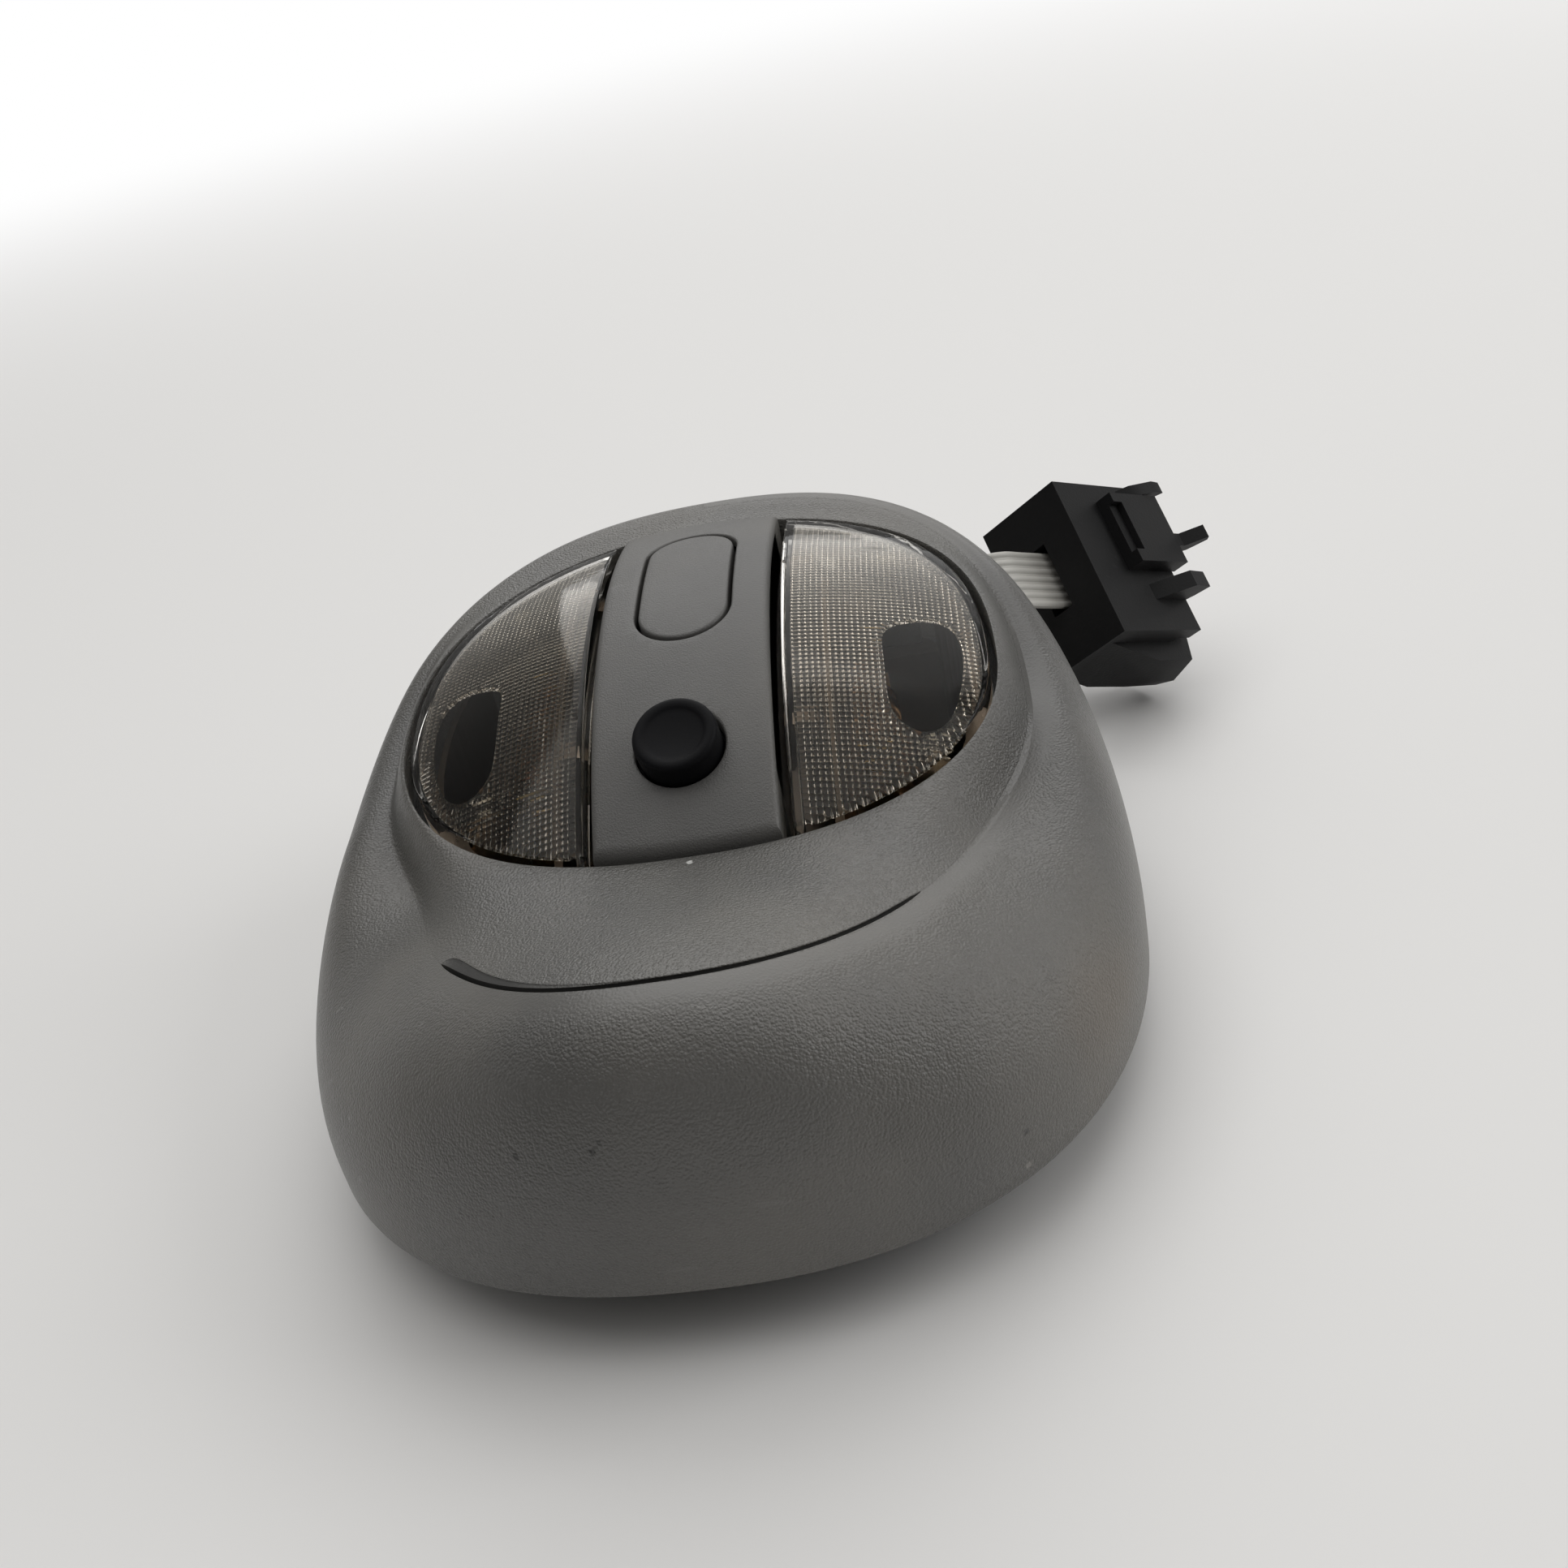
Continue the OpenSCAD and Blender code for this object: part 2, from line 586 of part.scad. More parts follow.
header_w = cable_w + 6;
header_h = 8;
header_rear = -4;
header_len = 10;
module cable_header() color([0.1, 0.1, 0.1]) at_outlet() difference() {
    block([-header_w / 2, header_rear - header_len, body_t], [header_w / 2, header_rear, body_t + header_h]);
    block([-cable_w / 2 - 0.2, header_rear - 4, body_t + 2],
          [cable_w / 2 + 0.2, header_rear + 1, body_t + 2 + cable_t + 0.4]);
}

// Plug's own frame: X along the block, Y across it, Z the way the wires run in
plug_place = [71.3, 91.4, 52.9];
plug_turn = [-125, 44, -69];
module on_plug() translate(plug_place) rotate(plug_turn) children();
cable_in = [18, 11];
cable_depth = 5;

// Middle line of the flat cable, from its header to the plug
route = [[27, 48, 4.8], [31, 53.5, 4.8], [35, 59, 4.8], [39, 64.5, 4.8], [43, 70, 5], [46.5, 74.5, 7],
         [49, 77, 11.5], [50, 77.5, 18], [50, 76.5, 25], [50.5, 74.5, 32], [52.5, 73, 37.5], [56, 73, 39.8],
         [60.3, 75, 38.9], [64, 79, 36.4], [67.8, 82.9, 33.9], [70.6, 85.9, 32.1]];
width_start = [0.81, -0.59, 0];
width_end = [0.26, -0.67, -0.7];
function unit(v) = v / norm(v);
function cable_ring(i) =
    let (n = len(route) - 1, t = unit(route[min(i + 1, n)] - route[max(i - 1, 0)]),
         s = min(max((i - 4) / 8, 0), 1),
         w0 = width_start + (width_end - width_start) * s, w = unit(w0 - (w0 * t) * t), h = cross(t, w),
         a = cable_w / 2, b = cable_t / 2, c = 0.4,
         half = [[a, -b + c], [a, b - c], [a - c, b], [-a + c, b]])
    [for (q = concat(half, -half)) route[i] + q[0] * w + q[1] * h];
module ribbon_cable() color([0.41, 0.4, 0.38])
    loft([for (i = [len(route) - 1 : -1 : 0]) cable_ring(i)], false);

socket_w = 1.7;
socket_pitch = 4.2;
socket_rows = [7, 14];
latch_h = 4;
function socket_x(i) = plug_len / 2 + (i - (wires - 1) / 2) * socket_pitch;
// Rib across the plug's upper side, from an outline of [depth, height] pairs
module rib(x, w, outline) translate([x, 0, 0]) rotate([0, 90, 0]) linear_extrude(w)
    polygon([for (p = outline) [-p[0], p[1]]]);
// Block on the cable's end: a latch block with its hump, two pointed tongues and a flared foot
module plug_shell() color([0.07, 0.07, 0.07]) on_plug() difference() {
    union() {
        cube([plug_len, plug_h, plug_depth]);
        translate([1.5, 1.5, plug_depth - eps]) cube([plug_len - 3, plug_h - 3, 4]);
        block([0, 0, plug_depth - eps], [plug_len, 3.5, plug_depth + 5]);
        block([4.7, -latch_h, 13], [22, eps, 31]);
        rib(1.2, 2.8, [[23, eps], [25, -2.4], [31, -4.8], [34, -4.6], [32, -2], [31, eps]]);
        rib(14.5, 3.2, [[30, eps], [30, -latch_h], [33, -latch_h], [37.5, -8], [38.5, -6.8], [36, -2.5],
            [32, eps]]);
        rib(25.5, 3.8, [[18, eps], [21, -2.4], [26, -6], [32, -5.6], [31, -2], [30, eps]]);
        intersection() {
            translate([0, plug_h, 0]) rotate([90, 0, 0]) linear_extrude(plug_h) polygon([
                [plug_len - 1, 2], [plug_len, 2], [plug_len + 7, plug_depth - 1],
                [plug_len + 7, plug_depth + 4], [plug_len - 1, plug_depth + 7]]);
            linear_extrude(big) polygon([
                [plug_len - 1, 5], [plug_len + 4.6, 5], [plug_len + 6.6, 11], [plug_len + 5, 16],
                [plug_len + 2.5, plug_h - 1.5], [plug_len - 1, plug_h - 1.5]]);
        }
    }
    block([7, -latch_h - 1, 10], [19, -latch_h + 1.5, 16]);
    block([plug_len - 1, plug_h - 2.6, 4], [plug_len + 1, plug_h - 1.5, plug_depth + 1]);
    translate([cable_in[0] - cable_w / 2 - 0.6, cable_in[1] - 2.6, -1])
        cube([cable_w + 1.2, 5.2, 1 + cable_depth]);
    for (i = [0 : wires - 1]) for (y = socket_rows)
        translate([socket_x(i) - socket_w / 2, y - socket_w / 2, plug_depth - 6])
            cube([socket_w, socket_w, 20]);
}

// Sprung brass sockets at the bottom of the holes
module plug_terminals() color([0.8, 0.62, 0.25]) on_plug() for (i = [0 : wires - 1])
    translate([socket_x(i), socket_rows[1], plug_depth - 6]) difference() {
        translate([-0.7, -0.7, 0]) cube([1.4, 1.4, 7]);
        translate([-0.4, -0.4, 1]) cube([0.8, 0.8, 10]);
    }

module flip(side) mirror([side == "left" ? 1 : 0, 0, 0]) children();

housing();
centre_panel();
oval_blank();
push_button();
switch_body();
flip("left") lens();  // lens_left
flip("right") lens();  // lens_right
flip("left") hinge_pin();  // hinge_pin_left
flip("right") hinge_pin();  // hinge_pin_right
flip("left") reflector();  // reflector_left
flip("right") reflector();  // reflector_right
flip("left") lens_plunger();  // lens_plunger_left
flip("right") lens_plunger();  // lens_plunger_right
flip("left") lens_switch();  // lens_switch_left
flip("right") lens_switch();  // lens_switch_right
flip("left") reading_bulb();  // reading_bulb_left
flip("right") reading_bulb();  // reading_bulb_right
flip("left") bulb_holder();  // bulb_holder_left
flip("right") bulb_holder();  // bulb_holder_right
flip("left") courtesy_bulb();  // courtesy_bulb_left
flip("right") courtesy_bulb();  // courtesy_bulb_right
flip("left") bulb_clips();  // bulb_clips_left
flip("right") bulb_clips();  // bulb_clips_right
circuit_board();
board_screws();
cable_header();
lamp_body();
body_screws();
flip("left") roof_clip();  // roof_clip_left
flip("right") roof_clip();  // roof_clip_right
ribbon_cable();
plug_shell();
plug_terminals();
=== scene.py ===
import bpy
import bmesh
from math import sin, cos, sqrt, radians, pi, copysign
from mathutils import Vector, Matrix


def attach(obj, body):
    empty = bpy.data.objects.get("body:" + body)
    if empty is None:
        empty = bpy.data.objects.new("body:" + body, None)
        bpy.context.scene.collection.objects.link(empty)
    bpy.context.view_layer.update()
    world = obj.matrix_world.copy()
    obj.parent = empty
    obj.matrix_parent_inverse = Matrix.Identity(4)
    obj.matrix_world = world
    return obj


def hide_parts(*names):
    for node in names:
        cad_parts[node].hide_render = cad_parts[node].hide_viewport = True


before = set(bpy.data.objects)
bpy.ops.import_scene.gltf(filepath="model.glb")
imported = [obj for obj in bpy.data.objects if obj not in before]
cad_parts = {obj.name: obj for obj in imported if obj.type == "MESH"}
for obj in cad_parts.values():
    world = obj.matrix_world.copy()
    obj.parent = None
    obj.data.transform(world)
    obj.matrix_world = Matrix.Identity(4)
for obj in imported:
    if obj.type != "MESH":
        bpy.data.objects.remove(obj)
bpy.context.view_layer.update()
MM = 0.001

# Camera. It looks down at the front left of the light, from a hand's reach away.
camera = bpy.data.objects.new("camera", bpy.data.cameras.new("camera"))
bpy.context.scene.collection.objects.link(camera)
camera.data.sensor_width = 36.0
camera.data.lens = 36.09
camera.data.clip_start = 0.01
camera.matrix_world = Matrix((
    (0.98055, 0.14914, 0.12758, 0.04844),
    (0.03548, 0.50463, -0.86261, -0.23299),
    (-0.19303, 0.85036, 0.48952, 0.17335),
    (0, 0, 0, 1)))
bpy.context.scene.camera = camera
bpy.context.scene.view_settings.view_transform = "Standard"

# Surround. The camera sees white; gloss and glass see a pale wall low behind the light and little else; matt
# surfaces get a soft sky. A wide window low behind and a weak ceiling light it, so the front wall lies in shade.
world = bpy.data.worlds.new("studio")
bpy.context.scene.world = world
world.use_nodes = True
wn, wl = world.node_tree.nodes, world.node_tree.links
wn.clear()
ray = wn.new("ShaderNodeTexCoord")
path = wn.new("ShaderNodeLightPath")
skies = {}
for word, toward, low, high in (("matt", (0.05, 0.2, 0.97), 0.04, 0.62), ("sheen", (0.0, 0.8, 0.6), 0.05, 0.34)):
    lean = wn.new("ShaderNodeVectorMath")
    lean.operation = "DOT_PRODUCT"
    lean.inputs[1].default_value = toward
    wl.new(ray.outputs["Generated"], lean.inputs[0])
    fall = wn.new("ShaderNodeMapRange")
    fall.interpolation_type = "SMOOTHSTEP"
    fall.inputs["From Min"].default_value = 0.1
    fall.inputs["From Max"].default_value = 0.95
    fall.inputs["To Min"].default_value = low
    fall.inputs["To Max"].default_value = high
    wl.new(lean.outputs["Value"], fall.inputs["Value"])
    skies[word] = wn.new("ShaderNodeBackground")
    skies[word].inputs["Color"].default_value = (1.0, 0.985, 0.96, 1)
    wl.new(fall.outputs["Result"], skies[word].inputs["Strength"])
white = wn.new("ShaderNodeBackground")
white.inputs["Color"].default_value = (1, 1, 1, 1)
shine = wn.new("ShaderNodeMath")
shine.operation = "ADD"
shine.use_clamp = True
wl.new(path.outputs["Is Glossy Ray"], shine.inputs[0])
wl.new(path.outputs["Is Transmission Ray"], shine.inputs[1])
inner = wn.new("ShaderNodeMixShader")
wl.new(shine.outputs[0], inner.inputs["Fac"])
wl.new(skies["matt"].outputs[0], inner.inputs[1])
wl.new(skies["sheen"].outputs[0], inner.inputs[2])
seen = wn.new("ShaderNodeMixShader")
wl.new(path.outputs["Is Camera Ray"], seen.inputs["Fac"])
wl.new(inner.outputs[0], seen.inputs[1])
wl.new(white.outputs[0], seen.inputs[2])
wl.new(seen.outputs[0], wn.new("ShaderNodeOutputWorld").inputs["Surface"])

floor_bm = bmesh.new()
bmesh.ops.create_grid(floor_bm, x_segments=1, y_segments=1, size=30.0)
floor_mesh = bpy.data.meshes.new("table_top")
floor_bm.to_mesh(floor_mesh)
floor_bm.free()
floor = bpy.data.objects.new("table_top", floor_mesh)
bpy.context.scene.collection.objects.link(floor)
floor_mat = bpy.data.materials.new("table_top")
floor_mat.use_nodes = True
ft = floor_mat.node_tree
ft.nodes["Principled BSDF"].inputs["Base Color"].default_value = (0.77, 0.765, 0.757, 1)
ft.nodes["Principled BSDF"].inputs["Roughness"].default_value = 0.7
far = ft.nodes.new("ShaderNodeVectorMath")
far.operation = "LENGTH"
ft.links.new(ft.nodes.new("ShaderNodeTexCoord").outputs["Object"], far.inputs[0])
fade = ft.nodes.new("ShaderNodeMapRange")
fade.interpolation_type = "SMOOTHERSTEP"
fade.inputs["From Min"].default_value = 0.3
fade.inputs["From Max"].default_value = 2.6
ft.links.new(far.outputs["Value"], fade.inputs["Value"])
glow = ft.nodes.new("ShaderNodeEmission")
fading = ft.nodes.new("ShaderNodeMixShader")
ft.links.new(fade.outputs["Result"], fading.inputs["Fac"])
ft.links.new(ft.nodes["Principled BSDF"].outputs[0], fading.inputs[1])
ft.links.new(glow.outputs[0], fading.inputs[2])
ft.links.new(fading.outputs[0], ft.nodes["Material Output"].inputs["Surface"])
floor_mesh.materials.append(floor_mat)

for name, place, size, power, aim in (
        ("window", (0.15, 2.1, 1.9), 2.8, 28.0, (0, 0, 0.04)),
        ("ceiling", (-0.2, 0.1, 2.2), 2.4, 13.0, (0, 0, 0.04)),
        ("side", (2.1, 0.2, 1.2), 1.4, 16.0, (0, 0, 0.04))):
    lamp = bpy.data.lights.new(name, "AREA")
    lamp.size = size
    lamp.energy = power
    light = bpy.data.objects.new(name, lamp)
    light.location = place
    light.visible_camera = False
    light.rotation_euler = (Vector(aim) - Vector(place)).to_track_quat("-Z", "Y").to_euler()
    bpy.context.scene.collection.objects.link(light)


# Small helpers for every moulded piece: a swept run of rings, and a plate that follows the dome.
def finish_mesh(bm, name, material, body, replaced):
    """One object at the origin from the bmesh, smooth, with its material, body and CAD nodes."""
    bmesh.ops.remove_doubles(bm, verts=bm.verts[:], dist=0.000002)
    bmesh.ops.recalc_face_normals(bm, faces=bm.faces[:])
    if bm.calc_volume(signed=True) < 0:
        bmesh.ops.reverse_faces(bm, faces=bm.faces[:])
    mesh = bpy.data.meshes.new(name)
    for f in bm.faces:
        f.smooth = True
    for e in bm.edges:
        e.smooth = len(e.link_faces) == 2 and e.calc_face_angle(0) < radians(38)
    bm.to_mesh(mesh)
    bm.free()
    mesh.materials.append(material)
    obj = bpy.data.objects.new(name, mesh)
    bpy.context.scene.collection.objects.link(obj)
    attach(obj, body)
    if replaced:
        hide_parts(*replaced)
    return obj


def sweep(bm, rings):
    """Extrudes a closed ring of points through further rings of as many points each. A fourth number marks a recess,
    which the housing's material turns into painted shade.
    """
    mark = bm.verts.layers.float.get("recess")
    verts = [bm.verts.new(Vector(p[:3]) * MM) for p in rings[0]]
    n = len(verts)
    first = edges = [bm.edges.new((verts[i], verts[(i + 1) % n])) for i in range(n)]
    for points in rings[1:]:
        made = bmesh.ops.extrude_edge_only(bm, edges=edges)["geom"]
        fresh = {g for g in made if isinstance(g, bmesh.types.BMVert)}
        verts = [next(e.other_vert(v) for e in v.link_edges if e.other_vert(v) in fresh) for v in verts]
        for v, p in zip(verts, points):
            v.co = Vector(p[:3]) * MM
            if mark:
                v[mark] = p[3]
        edges = [bm.edges.get((verts[i], verts[(i + 1) % n])) for i in range(n)]
    return first, edges


def grow(points, d):
    """A closed outline moved outwards by d."""
    result = []
    for i, p in enumerate(points):
        a, b = points[i - 1], points[(i + 1) % len(points)]
        t = Vector((b[0] - a[0], b[1] - a[1])).normalized()
        result.append((p[0] + t[1] * d, p[1] - t[0] * d))
    return result


def plate(outlines, profile, height, step=2.0, hole_profile=None):
    """A plate with holes whose edge follows profile, a list of (inset, drop), laid on the surface height(x, y)."""
    bm = bmesh.new()
    tops, bottoms = [], []
    for k, points in enumerate(outlines):
        side = -1 if k == 0 else 1
        rings = [[(x, y, -drop) for x, y in grow(points, side * inset)] for inset, drop in (hole_profile if k and hole_profile else profile)]
        a, b = sweep(bm, rings)
        tops += a
        bottoms += b
    for edges in (tops, bottoms):
        bmesh.ops.triangle_fill(bm, use_beauty=True, use_dissolve=False, edges=edges)
    for axis in (0, 1):
        reach = [v.co[axis] / MM for v in bm.verts]
        at = min(reach) + step
        while at < max(reach) - step / 3:
            co = Vector((0, 0, 0))
            no = Vector((0, 0, 0))
            co[axis], no[axis] = at * MM, 1
            bmesh.ops.bisect_plane(bm, geom=bm.verts[:] + bm.edges[:] + bm.faces[:], plane_co=co, plane_no=no, dist=0.00002)
            at += step
    for v in bm.verts:
        v.co.z += height(v.co.x / MM, v.co.y / MM) * MM
    return bm


# Shared effects. Moulded grain is a field of small soft pebbles; wear is sparse fine scratches, and dust
# is slow patches. Each gives a value, and the material makes its own colour and bump of them.
def group(name, ins, outs):
    g = bpy.data.node_groups.new(name, "ShaderNodeTree")
    for n, v in ins:
        g.interface.new_socket(n, in_out="INPUT", socket_type="NodeSocketFloat").default_value = v
    for n in outs:
        g.interface.new_socket(n, in_out="OUTPUT", socket_type="NodeSocketFloat")
    return g, g.nodes.new("NodeGroupInput"), g.nodes.new("NodeGroupOutput")


def maths(tree, op, a, b, clamp=False):
    m = tree.nodes.new("ShaderNodeMath")
    m.operation = op
    m.use_clamp = clamp
    for s, v in ((m.inputs[0], a), (m.inputs[1], b)):
        if isinstance(v, (int, float)):
            s.default_value = v
        else:
            tree.links.new(v, s)
    return m.outputs[0]


def fitted(tree, value, low, high):
    m = tree.nodes.new("ShaderNodeMapRange")
    m.interpolation_type = "SMOOTHSTEP"
    m.inputs["From Min"].default_value = low
    m.inputs["From Max"].default_value = high
    tree.links.new(value, m.inputs["Value"])
    return m.outputs["Result"]


def noise(tree, scale, detail=2.0, stretch=None):
    c = tree.nodes.new("ShaderNodeTexCoord").outputs["Object"]
    if stretch:
        m = tree.nodes.new("ShaderNodeMapping")
        m.inputs["Scale"].default_value = stretch
        m.inputs["Rotation"].default_value = (0.4, 0.7, 0.5)
        tree.links.new(c, m.inputs["Vector"])
        c = m.outputs["Vector"]
    t = tree.nodes.new("ShaderNodeTexNoise")
    t.inputs["Detail"].default_value = detail
    tree.links.new(c, t.inputs["Vector"])
    if isinstance(scale, (int, float)):
        t.inputs["Scale"].default_value = scale
    else:
        tree.links.new(scale, t.inputs["Scale"])
    return t.outputs["Fac"]


grain, gi, go = group("moulded_grain", [("Scale", 1500.0)], ["Height", "Pits"])
cell = grain.nodes.new("ShaderNodeTexVoronoi")
cell.feature = "SMOOTH_F1"
cell.inputs["Smoothness"].default_value = 0.35
gc = grain.nodes.new("ShaderNodeTexCoord")
warp = grain.nodes.new("ShaderNodeVectorMath")
warp.operation = "ADD"
grain.links.new(gc.outputs["Object"], warp.inputs[0])
shift = grain.nodes.new("ShaderNodeTexNoise")
shift.inputs["Scale"].default_value = 500
grain.links.new(gc.outputs["Object"], shift.inputs["Vector"])
small = grain.nodes.new("ShaderNodeVectorMath")
small.operation = "SCALE"
small.inputs["Scale"].default_value = 0.0006
grain.links.new(shift.outputs["Color"], small.inputs[0])
grain.links.new(small.outputs[0], warp.inputs[1])
grain.links.new(warp.outputs[0], cell.inputs["Vector"])
grain.links.new(gi.outputs["Scale"], cell.inputs["Scale"])
fine = noise(grain, maths(grain, "MULTIPLY", gi.outputs["Scale"], 1.7), 3.0)
hill = maths(grain, "SUBTRACT", 1.0, cell.outputs["Distance"])
grain.links.new(maths(grain, "ADD", hill, maths(grain, "MULTIPLY", fine, 0.5)), go.inputs["Height"])
grain.links.new(fitted(grain, cell.outputs["Distance"], 0.45, 0.8), go.inputs["Pits"])

wear, wi, wo = group("handling_wear", [("Amount", 0.5)], ["Scratches", "Dust", "Specks"])
lines = fitted(wear, noise(wear, 60, 3.0, (1, 14, 6)), 0.665, 0.7)
where = fitted(wear, noise(wear, 28, 2.0), 0.52, 0.68)
wear.links.new(maths(wear, "MULTIPLY", maths(wear, "MULTIPLY", lines, where), wi.outputs["Amount"]), wo.inputs["Scratches"])
wear.links.new(maths(wear, "MULTIPLY", fitted(wear, noise(wear, 22, 5.0), 0.35, 0.75), wi.outputs["Amount"]), wo.inputs["Dust"])
wear.links.new(fitted(wear, noise(wear, 420, 1.0), 0.74, 0.78), wo.inputs["Specks"])


def moulded(name, colour, rough=0.5, scale=1500.0, depth=0.05, amount=0.5, metallic=0.0, dirt=(0.3, 0.27, 0.22), specular=0.5,
            recess=False, marks=()):
    """Moulded plastic or plain metal: grain bump, slow colour change, scratches, dust and single marks, and with recess
    painted shade from the recess attribute.
    """
    m = bpy.data.materials.new(name)
    m.use_nodes = True
    t = m.node_tree
    b = t.nodes["Principled BSDF"]
    g = t.nodes.new("ShaderNodeGroup")
    g.node_tree = grain
    g.inputs["Scale"].default_value = scale
    w = t.nodes.new("ShaderNodeGroup")
    w.node_tree = wear
    w.inputs["Amount"].default_value = amount
    tone = t.nodes.new("ShaderNodeMix")
    tone.data_type = "RGBA"
    tone.inputs["A"].default_value = (*[c * 0.9 for c in colour], 1)
    tone.inputs["B"].default_value = (*[c * 1.1 for c in colour], 1)
    t.links.new(fitted(t, noise(t, 35, 4.0), 0.3, 0.7), tone.inputs["Factor"])
    dusty = t.nodes.new("ShaderNodeMix")
    dusty.data_type = "RGBA"
    dusty.inputs["B"].default_value = (*dirt, 1)
    t.links.new(maths(t, "MULTIPLY", w.outputs["Dust"], 0.22), dusty.inputs["Factor"])
    t.links.new(tone.outputs["Result"], dusty.inputs["A"])
    pale = t.nodes.new("ShaderNodeMix")
    pale.data_type = "RGBA"
    pale.inputs["B"].default_value = (*[min(1, c * 1.7 + 0.03) for c in colour], 1)
    t.links.new(maths(t, "MULTIPLY", w.outputs["Scratches"], 0.45), pale.inputs["Factor"])
    t.links.new(dusty.outputs["Result"], pale.inputs["A"])
    for place, radius, shade, strength, pitted in marks:
        away = t.nodes.new("ShaderNodeVectorMath")
        away.operation = "DISTANCE"
        t.links.new(t.nodes.new("ShaderNodeTexCoord").outputs["Object"], away.inputs[0])
        away.inputs[1].default_value = Vector(place) * MM
        ragged = maths(t, "MULTIPLY", noise(t, 1600 / radius, 3.0), radius * MM * 0.9)
        near = maths(t, "SUBTRACT", 1.0, fitted(t, maths(t, "ADD", away.outputs["Value"], ragged), radius * MM * (0.3 if pitted or radius > 3 else 0.75), radius * MM * 1.2))
        if pitted:
            near = maths(t, "MULTIPLY", near, w.outputs["Specks"])
        mark = t.nodes.new("ShaderNodeMix")
        mark.data_type = "RGBA"
        mark.inputs["B"].default_value = (*shade, 1)
        t.links.new(maths(t, "MULTIPLY", near, strength), mark.inputs["Factor"])
        t.links.new(pale.outputs["Result"], mark.inputs["A"])
        pale = mark
    # Painted shade: the recess attribute darkens the colour towards a quarter of itself on the slot floor and in its
    # gap, and raises the roughness there; the grain's bump fades wherever the attribute is not zero.
    if recess:
        recess_shade_and_smoothing = t.nodes.new("ShaderNodeAttribute")
        recess_shade_and_smoothing.attribute_name = "recess"
        shade = t.nodes.new("ShaderNodeMix")
        shade.data_type = "RGBA"
        shade.inputs["B"].default_value = (*[c * 0.25 for c in colour], 1)
        t.links.new(recess_shade_and_smoothing.outputs["Fac"], shade.inputs["Factor"])
        t.links.new(pale.outputs["Result"], shade.inputs["A"])
        t.links.new(shade.outputs["Result"], b.inputs["Base Color"])
    else:
        t.links.new(pale.outputs["Result"], b.inputs["Base Color"])
    r = maths(t, "ADD", rough, maths(t, "MULTIPLY", w.outputs["Dust"], 0.12))
    if recess:
        r = maths(t, "ADD", r, maths(t, "MULTIPLY", recess_shade_and_smoothing.outputs["Fac"], 0.45, True))
    t.links.new(maths(t, "SUBTRACT", r, maths(t, "MULTIPLY", w.outputs["Scratches"], 0.15)), b.inputs["Roughness"])
    b.inputs["Metallic"].default_value = metallic
    b.inputs["Specular IOR Level"].default_value = specular
    bump = t.nodes.new("ShaderNodeBump")
    bump.inputs["Strength"].default_value = 1.0
    bump.inputs["Distance"].default_value = depth * MM
    if recess:
        even = maths(t, "SUBTRACT", 1.0, maths(t, "ABSOLUTE", recess_shade_and_smoothing.outputs["Fac"], 0.0))
        t.links.new(maths(t, "MULTIPLY", g.outputs["Height"], even), bump.inputs["Height"])
    else:
        t.links.new(g.outputs["Height"], bump.inputs["Height"])
    t.links.new(bump.outputs["Normal"], b.inputs["Normal"])
    return m


# Housing. One moulding in grained mid-grey plastic: a fat wall that rises to a ridge, a saddle that falls to
# the lens opening, and a crescent slot along the front of the saddle, with painted shade on its floor and in its gap.
# Screwed to the tub from behind.
FIELD_M, RIM_M = (2.15, 2.35), (2.34, 2.17)
SHARE = (0.45, 0.45, 0.36, 0.28, 0.2, 0.5, 0.7)
DROP = (1, 3, 10, 23, 29.5, 23.5, 16)
DOME_TOP, DOME_R, DOME_X, DOME_Y = 68.5, 110.0, 152.0, 42.0


def dome(x, y):
    return DOME_TOP - DOME_R + sqrt((DOME_R - DOME_X + sqrt(DOME_X ** 2 - x * x)) ** 2 - (y - DOME_Y) ** 2)


def oval(a, w, front, rear, m):
    s, c = sin(radians(a)), cos(radians(a))
    p = 2 / m[1 if c > 0 else 0]
    return Vector((w * copysign(abs(s) ** p, s), (rear if c > 0 else front) * copysign(abs(c) ** p, c)))


def opening(a, gap=0.0):
    return Vector((0, 12)) + oval(a, 53 - gap, 37.5 - gap, 51 - gap, FIELD_M)


def key(k, a):
    b = 360 - a if a > 180 else a
    i = min(int(b // 30), 5)
    t = b / 30 - i
    p0, p1, p2, p3 = k[1] if i == 0 else k[i - 1], k[i], k[i + 1], k[5] if i == 5 else k[i + 2]
    return p1 + t * (p2 - p0 + t * (2 * p0 - 5 * p1 + 4 * p2 - p3 + t * (3 * (p1 - p2) + p3 - p0))) / 2


